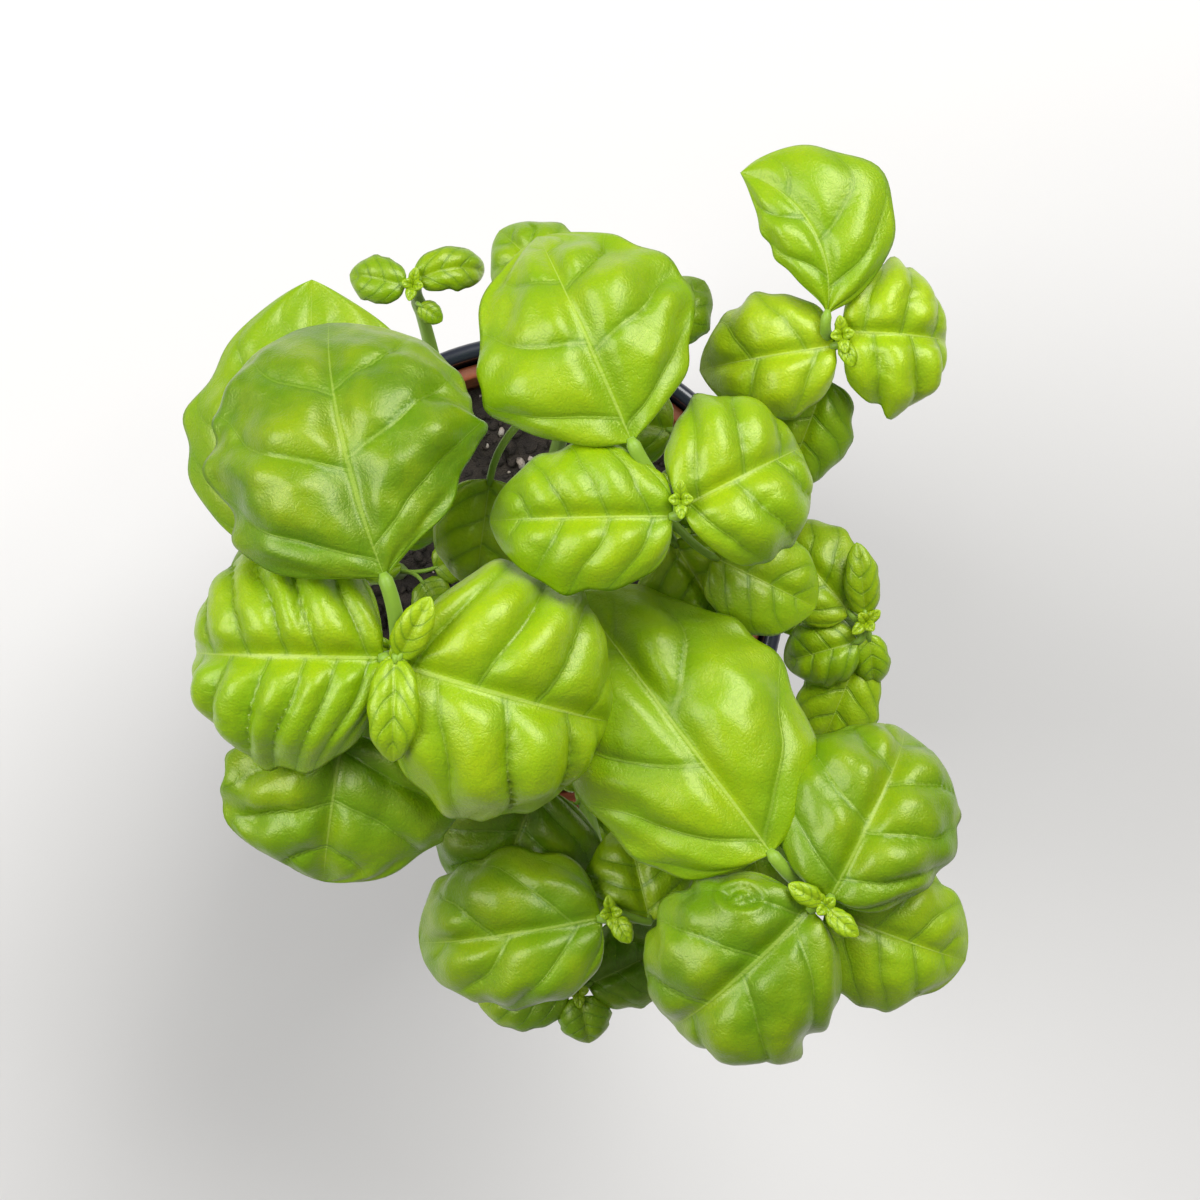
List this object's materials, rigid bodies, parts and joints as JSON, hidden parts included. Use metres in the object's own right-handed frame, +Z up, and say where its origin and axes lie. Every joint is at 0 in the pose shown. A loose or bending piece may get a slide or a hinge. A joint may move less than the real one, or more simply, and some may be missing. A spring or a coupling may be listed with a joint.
{
  "type": "potted basil bunch",
  "caption": "Bushy basil plant: leafy stems with puffy leaves rising from dark soil in an inner nursery pot, standing in a round dark cover pot.",
  "frame": {"origin": "centre of the cover pot's flat base, on the surface it stands on", "axes": "+Z up the pot's axis; seen from above with +Y up the picture, the large upper left leaf is towards -X and +Y"},
  "size_m": [0.1753, 0.2082, 0.2812],
  "materials": {
    "cover_pot": "satin",
    "nursery_pot": "matte",
    "soil": "matte",
    "basil": "satin"
  },
  "bodies": {
    "root": {"cover_pot": "cover_pot", "nursery_pot": "nursery_pot", "soil": "soil", "basil_1": "basil", "basil_2": "basil", "basil_3": "basil", "basil_4": "basil", "basil_5": "basil", "basil_6": "basil", "basil_7": "basil", "basil_8": "basil", "basil_9": "basil", "basil_10": "basil"}
  },
  "joints": []
}
